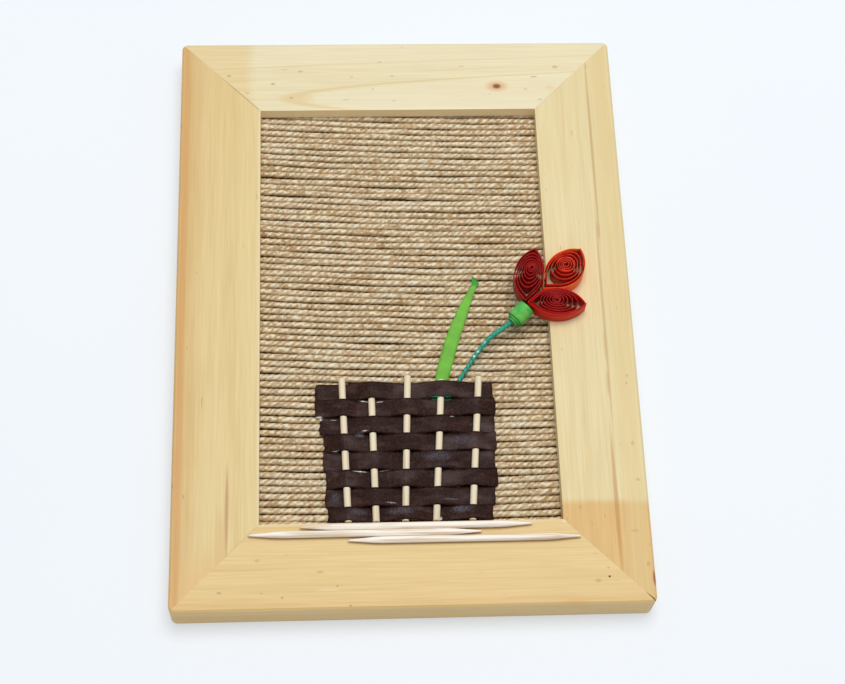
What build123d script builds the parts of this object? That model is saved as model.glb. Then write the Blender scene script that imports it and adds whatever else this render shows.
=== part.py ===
# Framed quilled paper art: a mitred pine frame round a board that is covered with rows of jute twine. Glued
# on its front are a pot woven of paper strips over cut toothpicks, a paper leaf, a stem with a rolled calyx,
# three quilled petals that lap onto the right rail, and three whole toothpicks for the ground.
# Millimetres. X runs to the right, Y up the picture and Z out of its face. The origin is the middle of the
# back, which lies flat on a table.
from build123d import *
from collections import namedtuple
from math import asin, atan2, cos, degrees, radians, sqrt
import os

# Frame, made for a picture of 9 by 14 cm
WINDOW_WIDTH = 85.0
WINDOW_HEIGHT = 134.0
RAIL_WIDTH = 24.5
LIP_WIDTH = 3.0  # wood that covers the panel's edge
LIP_THICKNESS = 4.0
CORNER_RADIUS = 1.8
FACE_EASING = 0.6  # bevel of the outer front edge
OPEN_MITRE_LENGTH = 4.5  # the lower right mitre has sprung open at its outer end
OPEN_MITRE_WIDTH = 0.6

# Steel V nails across the mitres, and the points that hold the panel in its rebate
NAIL_LEG = 6.0
NAIL_THICKNESS = 0.6
NAIL_DEPTH = 5.0
POINT_WIDTH = 6.0
POINT_REACH = 8.0  # over the panel's back, from the rebate's wall
POINT_BITE = 4.0  # into the wood
POINT_THICKNESS = 0.5
POINT_RECESS = 1.9  # below the frame's back

# Panel: twine glued row against row on the front of a hardboard back
BOARD_THICKNESS = 2.5
TWINE_DIAMETER = 2.1
TWINE_GROOVE = 0.6  # depth of the groove between two rows
TWINE_FLATS = ((0.0, 1.0), (0.2, 0.3), (0.5, 0.0), (0.8, 0.3))  # shares of a row's width and of the groove
PANEL_CLEARANCE = 0.5

# Toothpicks and glue
PICK_DIAMETER = 1.95
PICK_LENGTH = 65.0
PICK_TAPER = 9.0
PICK_TAPER_ANGLE = 4.6
PICK_SIDES = 12  # the round is drawn with flats
PICK_GAP = 0.05  # between the ground's picks, side by side
GROUND_DROP = 0.4  # from the window's edge to the first of them
GROUND_SHIFTS = (1.3, -13.0, 14.6)  # their middles from the window's, from the upper pick down
GLUE_FILM = 0.05

# Pot: hand-cut strips and uprights, counted from the top and from the left
STRIP_WIDTHS = (5.3, 5.4, 5.3, 5.4, 5.6, 5.4, 5.6, 4.2)
STRIP_LEFT_ENDS = (26.6, 26.7, 25.4, 24.2, 24.5, 23.6, 24.0, 23.3)  # from the window's middle
STRIP_RIGHT_ENDS = (24.9, 25.5, 25.0, 25.3, 24.5, 25.2, 24.1, 23.3)
STRIP_THICKNESS = 0.35
STRIP_GAP = 0.1  # between the edges of two neighbours
STRIP_EASE = 0.2  # how far it has left the upright's top or bottom at the upright's sides
POT_FOOT = 1.3  # from the window's lower edge up to the last strip
UPRIGHT_TOPS = (-18.8, -10.4, 0.2, 10.0, 20.8)  # from the window's middle
UPRIGHT_FEET = (-17.6, -9.8, -1.6, 7.1, 17.3)
UPRIGHT_RISES = (1.2, -1.3, 1.8, 0.4, 1.2)  # above the first strip
UPRIGHT_DROP = 0.3  # below the last strip

# Leaf: a strip cut to a point, its tip folded over to the right
LEAF_WIDTH = 4.1
LEAF_LENGTH = 40.2
LEAF_NECK = 1.5  # width at the fold
LEAF_NECK_SHIFT = 1.8  # to the right of the base's line
LEAF_FOLD = 2.8  # length and reach of the folded tip
LEAF_ANGLE = 74.0
LEAF_BULGE = 1.8  # of the left edge
LEAF_THICKNESS = 0.25
LEAF_LIFT = 1.4  # of the tip, off the twine
LEAF_OFFSET = -0.75  # of the base's middle from the fourth upright

# Flower: strips rolled to an eye and pinched. A flank runs straight off the inner tip and then in one arc to
# the outer tip: its bulge is the arc's height, and its skew is how far the top lies past the middle, as a
# share of the half length. The eye is a share of the length too, from the inner tip.
Flank = namedtuple("Flank", "bulge skew")
Petal = namedtuple("Petal", "length angle eye eye_shift left right")
PETAL_RIGHT = Petal(17.6, -2.9, 0.49, 1.0, Flank(5.1, 0.03), Flank(4.0, 0.015))
PETAL_LEFT = Petal(18.0, 78.0, 0.62, 0.0, Flank(5.1, 0.005), Flank(4.0, 0.05))
PETAL_TOP = Petal(18.1, 47.4, 0.60, 0.0, Flank(4.7, 0.065), Flank(6.2, 0.06))
PETAL_STRIP = 5.0  # width of the paper, and so the petals' height
PETAL_PAPER = 0.2
COIL_TURNS = 6
EYE_RADIUS = 0.45
MERGED_RUN = 0.3  # a straight run shorter than this becomes part of the arc
PINCH_POWER = 2.6  # how late the turns change from round to pinched
TIP_SLANT = 0.5  # how much longer the paper's cut is along the axis, at a pinched tip
FLOWER_INSET = 6.8  # from the window's right edge to the right petal's inner tip
FLOWER_HEIGHT = 65.3  # of that tip, from the window's lower edge
LEFT_PETAL_HEEL = Vector(-0.45, 0.2)  # where the others start from that tip
TOP_PETAL_HEEL = Vector(-0.3, -0.3)
LEFT_PETAL_WAY = Vector(0, 1)  # the way each is pulled back until it just touches
TOP_PETAL_WAY = Vector(0.75, 0.66)

# Calyx and stem
CALYX_DIAMETER = 5.3
CALYX_LENGTH = 5.1
CALYX_STEP_LENGTH = 0.6
CALYX_STEP_DEPTH = 0.45
CALYX_STEPS = 2
CALYX_WAY = Vector(0.71, 0.68, 0.17)
CALYX_AIM = Vector(0.0, -0.8)  # where its axis passes the right petal's inner tip
STEM_DIAMETER = 1.2
STEM_CLEARANCE = 0.05
STEM_SIDES = 12
STEM_FOOT = Vector(2.45, -4.5)  # from the fourth upright, where the first strip begins
STEM_EXIT = Vector(5.2, 0.2)
STEM_BOWS = ((0.25, 1.2), (0.5, 2.2), (0.75, 1.9))  # share of the way to the calyx, and bow to the left

# Places that follow from the sizes
frame_width = WINDOW_WIDTH + 2 * RAIL_WIDTH
frame_height = WINDOW_HEIGHT + 2 * RAIL_WIDTH
rebate_width = WINDOW_WIDTH + 2 * LIP_WIDTH
rebate_height = WINDOW_HEIGHT + 2 * LIP_WIDTH
panel_width = rebate_width - 2 * PANEL_CLEARANCE
panel_height = rebate_height - 2 * PANEL_CLEARANCE
board_back = POINT_RECESS + POINT_THICKNESS
board_front = board_back + BOARD_THICKNESS
panel_front = board_front + TWINE_DIAMETER
face = panel_front + LIP_THICKNESS
window_right = WINDOW_WIDTH / 2
window_bottom = -WINDOW_HEIGHT / 2
pot_bottom = window_bottom + POT_FOOT
pot_top = pot_bottom + sum(STRIP_WIDTHS)
strip_behind = panel_front + GLUE_FILM + STRIP_THICKNESS / 2
upright_height = strip_behind + STRIP_THICKNESS / 2 + GLUE_FILM + PICK_DIAMETER / 2
strip_before = upright_height + PICK_DIAMETER / 2 + GLUE_FILM + STRIP_THICKNESS / 2


def frame_ring():
    """All four rails as one ring, with the rebate for the panel cut from the back."""
    ring = extrude(RectangleRounded(frame_width, frame_height, CORNER_RADIUS), face)
    ring -= extrude(Rectangle(WINDOW_WIDTH, WINDOW_HEIGHT), face)
    ring -= extrude(Rectangle(rebate_width, rebate_height), panel_front)
    front = ring.faces().sort_by(Axis.Z)[-1]
    return chamfer(front.outer_wire().edges(), FACE_EASING) - open_mitre()


def open_mitre():
    """The wedge of air where the lower right mitre gapes, widest at the outer corner."""
    corner = Vector(frame_width / 2, -frame_height / 2)
    along = Vector(-1, 1).normalized()
    across = Vector(1, 1).normalized() * OPEN_MITRE_WIDTH / 2
    wedge = Polyline(corner - across, corner + across, corner + along * OPEN_MITRE_LENGTH, close=True)
    return extrude(make_face(wedge), face, dir=(0, 0, 1))


def mitre_wedges():
    """For each rail, the part of the plan between its two mitres."""
    x, y = frame_width / 2, frame_height / 2
    depth = RAIL_WIDTH + min(WINDOW_WIDTH, WINDOW_HEIGHT) / 4
    u, v = x - depth, y - depth
    plans = {
        "frame_rail_left": [(-x, -y), (-u, -v), (-u, v), (-x, y)],
        "frame_rail_right": [(x, -y), (x, y), (u, v), (u, -v)],
        "frame_rail_top": [(-x, y), (-u, v), (u, v), (x, y)],
        "frame_rail_bottom": [(-x, -y), (x, -y), (u, -v), (-u, -v)],
    }
    return {name: extrude(make_face(Polyline(*plan, close=True)), face) for name, plan in plans.items()}


def v_nail(side_x, side_y):
    """A bent nail across one mitre, its corner on the joint line and its edge flush with the back."""
    corner_x = side_x * (frame_width - RAIL_WIDTH) / 2
    corner_y = side_y * (frame_height - RAIL_WIDTH) / 2
    bent = [(0, 0), (NAIL_LEG, 0), (NAIL_LEG, NAIL_THICKNESS), (NAIL_THICKNESS, NAIL_THICKNESS),
            (NAIL_THICKNESS, NAIL_LEG), (0, NAIL_LEG)]
    plan = [(corner_x - side_x * u, corner_y - side_y * v) for u, v in bent]
    return extrude(make_face(Polyline(*plan, close=True)), NAIL_DEPTH, dir=(0, 0, 1))


def retaining_points():
    """Flat steel points in the rebate's wall behind the panel: two for a long side, one for a short side."""
    edge = POINT_WIDTH / 2
    plan = Polyline((-POINT_REACH, -edge), (POINT_BITE - edge, -edge), (POINT_BITE, 0),
                    (POINT_BITE - edge, edge), (-POINT_REACH, edge), close=True)
    point = extrude(make_face(plan), POINT_THICKNESS, dir=(0, 0, 1))
    wall_x, wall_y, quarter = rebate_width / 2, rebate_height / 2, rebate_height / 4
    places = [(wall_x, quarter, 0), (wall_x, -quarter, 0), (-wall_x, quarter, 180), (-wall_x, -quarter, 180),
              (0, wall_y, 90), (0, -wall_y, 270)]
    return [Pos(x, y, POINT_RECESS) * Rot(0, 0, turn) * point for x, y, turn in places]


def backing_board():
    """The hardboard back, loose in its rebate."""
    return Pos(0, 0, board_back) * extrude(Rectangle(panel_width, panel_height), BOARD_THICKNESS)


def twine_rows():
    """Rows of twine as one wall: a few flats for each row's round, and the glued flat underneath."""
    rows = int(panel_height // TWINE_DIAMETER)
    start = -rows * TWINE_DIAMETER / 2
    line = [((row + across) * TWINE_DIAMETER + start, panel_front - depth * TWINE_GROOVE)
            for row in range(rows) for across, depth in TWINE_FLATS]
    line += [(-start, panel_front - TWINE_GROOVE), (-start, board_front), (start, board_front)]
    return extrude(Plane.YZ * make_face(Polyline(*line, close=True)), panel_width / 2, both=True)


def upright_x(index, y):
    """Where an upright stands at a height on the panel: the pot narrows downwards."""
    rise = (y - pot_bottom) / (pot_top - pot_bottom)
    return UPRIGHT_FEET[index] + (UPRIGHT_TOPS[index] - UPRIGHT_FEET[index]) * rise


def pick_section():
    """A toothpick's round, with one of its flats below."""
    return Rot(0, 0, 180 / PICK_SIDES) * RegularPolygon(PICK_DIAMETER / 2, PICK_SIDES, major_radius=False)


def pot_upright(index):
    """A toothpick cut square at both ends."""
    low, high = pot_bottom - UPRIGHT_DROP, pot_top + UPRIGHT_RISES[index]
    foot = Vector(upright_x(index, low), low, upright_height)
    top = Vector(upright_x(index, high), high, upright_height)
    stand = Plane(origin=foot, x_dir=(0, 0, 1), z_dir=top - foot)
    return stand * extrude(pick_section(), (top - foot).length)


def pot_strip(index):
    """One strip of the weave: before every other upright, behind the ones between, glued down at its ends."""
    top = pot_top - sum(STRIP_WIDTHS[:index])
    middle = top - STRIP_WIDTHS[index] / 2
    radius = PICK_DIAMETER / 2
    line = [(-STRIP_LEFT_ENDS[index], strip_behind)]
    for upright in range(len(UPRIGHT_TOPS)):
        x = upright_x(upright, middle)
        height, ease = (strip_before, -STRIP_EASE) if (index + upright) % 2 else (strip_behind, STRIP_EASE)
        line += [(x - radius, height + ease), (x - radius / 2, height), (x + radius / 2, height),
                 (x + radius, height + ease)]
    line.append((STRIP_RIGHT_ENDS[index], strip_behind))
    lower = [(x, height - STRIP_THICKNESS / 2) for x, height in line]
    upper = [(x, height + STRIP_THICKNESS / 2) for x, height in line]
    edge_on = Plane(origin=(0, top - STRIP_GAP / 2, 0), x_dir=(1, 0, 0), z_dir=(0, -1, 0))
    section = make_face(Polyline(*lower, *reversed(upper), close=True))
    return extrude(edge_on * section, STRIP_WIDTHS[index] - STRIP_GAP)


def ground_pick(index):
    """A whole toothpick on the bottom rail, tapered to a point at both ends."""
    shaft = PICK_LENGTH - 2 * PICK_TAPER
    rod = extrude(pick_section(), shaft / 2, both=True)
    point = Pos(0, 0, shaft / 2) * extrude(pick_section(), PICK_TAPER, taper=PICK_TAPER_ANGLE)
    whole = rod + point + mirror(point, Plane.XY)
    y = window_bottom - GROUND_DROP - PICK_DIAMETER / 2 - index * (PICK_DIAMETER + PICK_GAP)
    middle = (GROUND_SHIFTS[index], y, face + PICK_DIAMETER / 2)
    return Plane(origin=middle, x_dir=(0, 0, 1), z_dir=(1, 0, 0)) * whole


def leaf():
    """A long cut strip that bends off the twine, behind the first strip and the fourth upright."""
    half, neck = LEAF_WIDTH / 2, LEAF_LENGTH - LEAF_FOLD
    neck_left, neck_right = LEAF_NECK / 2 - LEAF_NECK_SHIFT, -LEAF_NECK / 2 - LEAF_NECK_SHIFT
    left_edge = ThreePointArc((0, half), (neck / 2, (half + neck_left) / 2 + LEAF_BULGE), (neck, neck_left))
    corner = (neck + LEAF_FOLD / 4, neck_right - LEAF_FOLD / 4)
    fold = Polyline((neck, neck_left), (LEAF_LENGTH, neck_left), corner, (neck, neck_right))
    base = Polyline((neck, neck_right), (0, -half), (0, half))
    plan = make_face([left_edge, *fold.edges(), *base.edges()])
    bend = ThreePointArc((0, 0), (LEAF_LENGTH / 2, LEAF_LIFT / 4), (LEAF_LENGTH, LEAF_LIFT))
    lower = bend.moved(Pos(0, 0))
    upper = bend.moved(Pos(0, LEAF_THICKNESS))
    ends = [Line(lower @ end, upper @ end) for end in (0, 1)]
    bent = extrude(Plane.XZ * make_face([lower, upper, *ends]), LEAF_LENGTH, both=True)
    foot_y = pot_top - STRIP_WIDTHS[0] + STRIP_GAP / 2 + half * cos(radians(LEAF_ANGLE))
    foot = Pos(upright_x(3, foot_y) + LEAF_OFFSET, foot_y, panel_front + GLUE_FILM)
    return foot * Rot(0, 0, LEAF_ANGLE) * (bent & extrude(plan, LEAF_LIFT + LEAF_THICKNESS))


def flank_edges(inner, outer, side, bulge, skew):
    """One side of a turn between two points on the petal's axis: a straight run and an arc tangent to it."""
    length = (outer - inner).length
    peak, fall = length * (1 + skew) / 2, length * (1 - skew) / 2
    radius = (fall**2 + bulge**2) / (2 * bulge)
    centre = Vector(peak, bulge - radius)
    angle = atan2(centre.Y, centre.X) + asin(radius / centre.length)
    run = length * sqrt(skew)
    way = (outer - inner).normalized().rotate(Axis.Z, side * degrees(angle))
    if run < MERGED_RUN:
        return [TangentArc(inner, outer, tangent=way)]
    return [Line(inner, inner + way * run), TangentArc(inner + way * run, outer, tangent=way)]


def coil_wall(petal, offset):
    """One face of a petal's strip, from the eye out: half turns, round at the eye and pinched outside."""
    half_turns = 2 * COIL_TURNS
    mean_bulge = (petal.left.bulge + petal.right.bulge) / 2
    ends, pinches = [], []
    for turn in range(half_turns + 1):
        pinch = min(1, turn / (half_turns - 2)) ** PINCH_POWER
        outer = turn % 2 == 0
        full_reach = petal.length * (1 - petal.eye if outer else petal.eye)
        round_reach = EYE_RADIUS + (mean_bulge - EYE_RADIUS) * min(turn, half_turns - 1) / half_turns
        reach = round_reach + (full_reach - mean_bulge) * pinch + offset * (1 + TIP_SLANT * pinch)
        end_x = petal.length * petal.eye + (reach if outer else -reach)
        ends.append(Vector(end_x, petal.eye_shift * (1 - pinch)))
        pinches.append(pinch)
    wall = []
    for turn in range(half_turns):
        flank, side = (petal.left, 1) if turn % 2 == 0 else (petal.right, -1)
        inner, outer = sorted(ends[turn:turn + 2], key=lambda end: end.X)
        bulge = EYE_RADIUS + (flank.bulge - EYE_RADIUS) * (turn + 0.5) / half_turns + offset
        skew = flank.skew * (pinches[turn] + pinches[turn + 1]) / 2
        wall.append(flank_edges(inner, outer, side, bulge, skew))
    return wall


def petal_coil(petal):
    """The whole strip on edge, in the petal's own frame: inner tip at the origin, outer tip on X."""
    inside, outside = coil_wall(petal, -PETAL_PAPER / 2), coil_wall(petal, PETAL_PAPER / 2)
    strip_ends = [Line(inside[turn][-1] @ 1, outside[turn][-1] @ 1) for turn in (0, -1)]
    return extrude(make_face([*sum(inside + outside, []), *strip_ends]), PETAL_STRIP, dir=(0, 0, 1))


def petal_hull(petal):
    """The room that a petal takes up: its two outermost sides, as tall as the strip."""
    one_side, other_side = coil_wall(petal, PETAL_PAPER / 2)[-2:]
    tip = Line(one_side[-1] @ 1, other_side[-1] @ 1)
    return extrude(make_face([*one_side, *other_side, tip]), PETAL_STRIP, dir=(0, 0, 1))


def pulled_clear(shape, others, way, limit):
    """How far a shape has to be pulled back along a way, until a film of glue parts it from the others."""
    near, far = 0.0, limit
    while far - near > GLUE_FILM / 10:
        middle = (near + far) / 2
        moved = Pos(*(way.normalized() * middle)) * shape
        if min(moved.distance_to(other) for other in others) < GLUE_FILM:
            near = middle
        else:
            far = middle
    return far


def flower():
    """Three petals side by side on the rail's height, each pulled back until it touches its neighbours."""
    tip = Pos(window_right - FLOWER_INSET, window_bottom + FLOWER_HEIGHT, face)
    places = {"petal_right": tip * Rot(0, 0, PETAL_RIGHT.angle)}
    taken = [places["petal_right"] * petal_hull(PETAL_RIGHT)]
    laid_next = (("petal_left", PETAL_LEFT, LEFT_PETAL_HEEL, LEFT_PETAL_WAY),
                 ("petal_top", PETAL_TOP, TOP_PETAL_HEEL, TOP_PETAL_WAY))
    for name, petal, heel, way in laid_next:
        turned = tip * Pos(*heel) * Rot(0, 0, petal.angle)
        distance = pulled_clear(turned * petal_hull(petal), taken, way, petal.length)
        places[name] = Pos(*(way.normalized() * distance)) * turned
        taken.append(places[name] * petal_hull(petal))
    return places, taken


def calyx(petal_hulls):
    """Green paper rolled round the stem: a short drum with stepped rings, pushed up to the petals."""
    bore, radius = STEM_DIAMETER / 2 + STEM_CLEARANCE, CALYX_DIAMETER / 2
    tail = CALYX_STEPS * CALYX_STEP_LENGTH
    outline = [(0, 0), (radius, 0), (radius, -CALYX_LENGTH)]
    for ring in range(1, CALYX_STEPS + 1):
        depth = -CALYX_LENGTH - (ring - 1) * CALYX_STEP_LENGTH
        ring_radius = radius - ring * CALYX_STEP_DEPTH
        outline += [(ring_radius, depth), (ring_radius, depth - CALYX_STEP_LENGTH)]
    outline += [(bore, -CALYX_LENGTH - tail), (bore, -CALYX_LENGTH / 2), (0, -CALYX_LENGTH / 2)]
    drum = revolve(Plane.XZ * make_face(Polyline(*outline, close=True)), Axis.Z)
    aim = Vector(window_right - FLOWER_INSET, window_bottom + FLOWER_HEIGHT) + CALYX_AIM
    frame = Plane(origin=(aim.X, aim.Y, face + PETAL_STRIP / 2), z_dir=CALYX_WAY)
    distance = pulled_clear(frame * drum, petal_hulls, CALYX_WAY * -1, 2 * CALYX_LENGTH)
    seat = frame.offset(-distance)
    return seat * drum, seat.offset(-CALYX_LENGTH / 2), seat.offset(-CALYX_LENGTH - tail)


def stem(bore_end, calyx_tail):
    """A thin twisted stem, from behind the pot's first strip up into the calyx's bore."""
    first = Vector(upright_x(3, pot_top), pot_top, panel_front + GLUE_FILM + STEM_DIAMETER / 2)
    foot, out = first + STEM_FOOT, first + STEM_EXIT
    tail = calyx_tail.offset(-STEM_DIAMETER).origin
    left = Vector(0, 0, 1).cross(tail - out).normalized()
    bows = [out + (tail - out) * share + left * bow for share, bow in STEM_BOWS]
    path = Polyline(foot, out, *bows, tail, bore_end.origin)
    section = Plane(origin=path @ 0, z_dir=path % 0) * RegularPolygon(STEM_DIAMETER / 2, STEM_SIDES)
    return sweep(section, path, transition=Transition.RIGHT)


nails = [v_nail(x, y) for x in (-1, 1) for y in (-1, 1)]
points = retaining_points()
ring = frame_ring()
parts = {}
for name, wedge in mitre_wedges().items():
    parts[name] = (ring & wedge) - nails - points
parts["corner_v_nails"] = Compound(nails)
parts["retaining_points"] = Compound(points)
parts["backing_board"] = backing_board()
parts["twine_rows"] = twine_rows()
for index in range(len(UPRIGHT_TOPS)):
    parts[f"pot_upright_{index + 1}"] = pot_upright(index)
for index in range(len(STRIP_WIDTHS)):
    parts[f"pot_strip_{index + 1}"] = pot_strip(index)
for index, name in enumerate(("upper", "middle", "lower")):
    parts[f"ground_pick_{name}"] = ground_pick(index)
parts["leaf"] = leaf()
petal_places, petal_hulls = flower()
for name, petal in (("petal_left", PETAL_LEFT), ("petal_top", PETAL_TOP), ("petal_right", PETAL_RIGHT)):
    parts[name] = petal_places[name] * petal_coil(petal)
parts["calyx"], bore_end, calyx_tail = calyx(petal_hulls)
parts["stem"] = stem(bore_end, calyx_tail)

os.makedirs("parts", exist_ok=True)
for name, shape in parts.items():
    export_step(shape, f"parts/{name}.step")
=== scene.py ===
# Framed quilled paper art, lying face up on a pale table: a pine frame round a panel of jute twine, and on it
# a pot woven of paper strips, a leaf, a stem and a quilled flower. Metres, in the frame of the CAD model.
from math import asin, atan2, ceil, cos, hypot, pi, radians, sin, sqrt
from random import Random

import bmesh
import bpy
from mathutils import Matrix, Vector, noise


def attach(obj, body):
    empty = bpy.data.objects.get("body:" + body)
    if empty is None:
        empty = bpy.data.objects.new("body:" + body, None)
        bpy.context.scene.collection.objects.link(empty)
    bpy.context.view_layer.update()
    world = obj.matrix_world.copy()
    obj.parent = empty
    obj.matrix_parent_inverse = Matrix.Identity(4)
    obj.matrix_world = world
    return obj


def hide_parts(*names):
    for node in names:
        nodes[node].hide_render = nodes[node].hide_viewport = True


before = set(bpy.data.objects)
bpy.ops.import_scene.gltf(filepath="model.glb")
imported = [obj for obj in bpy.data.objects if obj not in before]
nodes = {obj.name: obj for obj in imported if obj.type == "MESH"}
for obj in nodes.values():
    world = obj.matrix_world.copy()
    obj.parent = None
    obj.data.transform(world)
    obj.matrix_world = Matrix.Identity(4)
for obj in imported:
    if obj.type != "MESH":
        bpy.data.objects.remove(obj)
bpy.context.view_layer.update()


# Frame rails: planed pine, mitred at the corners and glued, with a clear matt finish. Each rail is cut from
# another board, so the tone changes at every mitre. Their shape is the CAD model's.
MM = 0.001
WINDOW_HALF_WIDTH, WINDOW_HALF_HEIGHT = 42.5 * MM, 67.0 * MM
RAIL_FACE = 11.0


def paint(red, green, blue):
    """A colour as it is mixed, 0 to 255, for a shader."""
    parts = [part / 255 for part in (red, green, blue)]
    linear = [part / 12.92 if part < 0.04045 else ((part + 0.055) / 1.055) ** 2.4 for part in parts]
    return (*linear, 1.0)


def add_node(tree, kind, values=None, **settings):
    """One shader node with its settings, each input set to a value or linked to another node's output."""
    made = tree.nodes.new("ShaderNode" + kind)
    for setting, value in settings.items():
        setattr(made, setting, value)
    for socket, value in (values or {}).items():
        if isinstance(value, bpy.types.NodeSocket):
            tree.links.new(value, made.inputs[socket])
        else:
            made.inputs[socket].default_value = value
    return made


def blend(tree, share, under, over, way="MIX"):
    """A colour laid over another one by a share."""
    values = {0: share, 6: under, 7: over}
    return add_node(tree, "Mix", values, data_type="RGBA", blend_type=way).outputs[2]


def ramp(tree, value, low, high, to_low=0.0, to_high=1.0):
    """A value's range, stretched to another range and held at its ends."""
    values = {0: value, 1: low, 2: high, 3: to_low, 4: to_high}
    return add_node(tree, "MapRange", values, interpolation_type="SMOOTHSTEP").outputs[0]


def maths(tree, operation, one, other=0.0):
    """One step of arithmetic on values that change over the surface."""
    return add_node(tree, "Math", {0: one, 1: other}, operation=operation).outputs[0]


def stretched_noise(tree, vector, stretch, detail=2.0, rough=0.5):
    """Noise whose grains per metre differ along the three axes."""
    mapping = add_node(tree, "Mapping", {"Vector": vector, "Scale": stretch})
    values = {"Vector": mapping.outputs[0], "Scale": 1.0, "Detail": detail, "Roughness": rough}
    return add_node(tree, "TexNoise", values).outputs[0]


def new_group(name, inputs, outputs):
    """An empty shader group with its sockets; gives the group and its two ends."""
    group = bpy.data.node_groups.new(name, "ShaderNodeTree")
    for way, sockets in (("INPUT", inputs), ("OUTPUT", outputs)):
        for socket, kind in sockets.items():
            group.interface.new_socket(socket, in_out=way, socket_type="NodeSocket" + kind)
    return group, group.nodes.new("NodeGroupInput").outputs, group.nodes.new("NodeGroupOutput").inputs


def place_group(tree, group, values):
    """A shader group set into a material; gives its outputs."""
    return add_node(tree, "Group", values, node_tree=group).outputs


def new_finish(name, roughness=0.6, specular=0.4):
    """A material with one Principled shader; gives it, its tree, the shader and the object's coordinates."""
    material = bpy.data.materials.new(name)
    material.use_nodes = True
    tree = material.node_tree
    shader = tree.nodes["Principled BSDF"]
    shader.inputs["Roughness"].default_value = roughness
    shader.inputs["Specular IOR Level"].default_value = specular
    return material, tree, shader, add_node(tree, "TexCoord").outputs["Object"]


def finish_with(tree, shader, colour, roughness=None, height=None, depth=0.0001, strength=0.5):
    """Links what changes over the surface to the shader: colour, roughness, a bump of a depth in metres."""
    tree.links.new(colour, shader.inputs["Base Color"])
    if roughness is not None:
        tree.links.new(roughness, shader.inputs["Roughness"])
    if height is not None:
        bump = add_node(tree, "Bump", {"Height": height, "Strength": strength, "Distance": depth})
        tree.links.new(bump.outputs[0], shader.inputs["Normal"])


def pine_grain():
    """Pine: soft clouds, growth rings and fine fibres along X, with a few short resin flecks."""
    group, given, result = new_group(
        "pine_grain", {"Along grain": "Vector", "Pale": "Color", "Warm": "Color", "Warmth": "Float"},
        {"Colour": "Color", "Roughness": "Float", "Height": "Float"})
    along = given["Along grain"]
    clouds = stretched_noise(group, along, (14, 45, 45))
    rings = stretched_noise(group, along, (5, 210, 210), 3.0, 0.6)
    fibres = stretched_noise(group, along, (60, 2600, 2600))
    flecks = stretched_noise(group, along, (300, 1300, 1300), 0.0)
    warmth = maths(group, "ADD", given["Warmth"], ramp(group, clouds, 0.3, 0.7, -0.15, 0.15))
    base = blend(group, warmth, given["Pale"], given["Warm"])
    late_wood = blend(group, 1.0, base, paint(235, 214, 178), "MULTIPLY")
    ringed = blend(group, ramp(group, rings, 0.42, 0.75, 0.0, 0.33), base, late_wood)
    fibrous = blend(group, 1.0, ringed, ramp(group, fibres, 0.25, 0.75, 0.95, 1.04), "MULTIPLY")
    flecked = blend(group, ramp(group, flecks, 0.82, 0.88, 0.0, 0.4), fibrous, paint(150, 100, 55))
    group.links.new(flecked, result["Colour"])
    group.links.new(ramp(group, fibres, 0.2, 0.8, 0.62, 0.48), result["Roughness"])
    group.links.new(maths(group, "ADD", fibres, rings), result["Height"])
    return group


def oval_spot():
    """A soft oval spot, from its middle and its three radii."""
    group, given, result = new_group(
        "oval_spot", {"Vector": "Vector", "Middle": "Vector", "Radii": "Vector"}, {"Mask": "Float"})
    offset = add_node(group, "VectorMath", {0: given["Vector"], 1: given["Middle"]}, operation="SUBTRACT")
    scaled = add_node(group, "VectorMath", {0: offset.outputs[0], 1: given["Radii"]}, operation="DIVIDE")
    length = add_node(group, "VectorMath", {0: scaled.outputs[0]}, operation="LENGTH")
    group.links.new(ramp(group, length.outputs["Value"], 0.35, 1.0, 1.0, 0.0), result["Mask"])
    return group


def spot_on(tree, place, middle, radii):
    """The mask of one soft spot on a piece, from its middle and its radii in mm."""
    values = {"Vector": place, "Middle": Vector(middle) * MM, "Radii": Vector(radii) * MM}
    return place_group(tree, spot, values)["Mask"]


def flat_sawn_arch(tree, axes, apex, width, colour):
    """The pointed rings of a flat-sawn board: pale inside the first, with lines along it. Sizes are in m."""
    across = maths(tree, "SUBTRACT", axes["Y"], apex[1])
    opened = maths(tree, "DIVIDE", maths(tree, "MULTIPLY", across, across), width)
    ring = maths(tree, "SUBTRACT", opened, maths(tree, "SUBTRACT", axes["X"], apex[0]))
    colour = blend(tree, ramp(tree, ring, 0.0, -0.012, 0.0, 0.45), colour, paint(236, 226, 194))
    for place, half, share in ((0.0, 0.006, 0.5), (0.06, 0.01, 0.2), (0.15, 0.014, 0.3)):
        away = maths(tree, "ABSOLUTE", maths(tree, "SUBTRACT", ring, place))
        colour = blend(tree, ramp(tree, away, 0.0, half, share, 0.0), colour, paint(216, 184, 118))
    return colour


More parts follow.
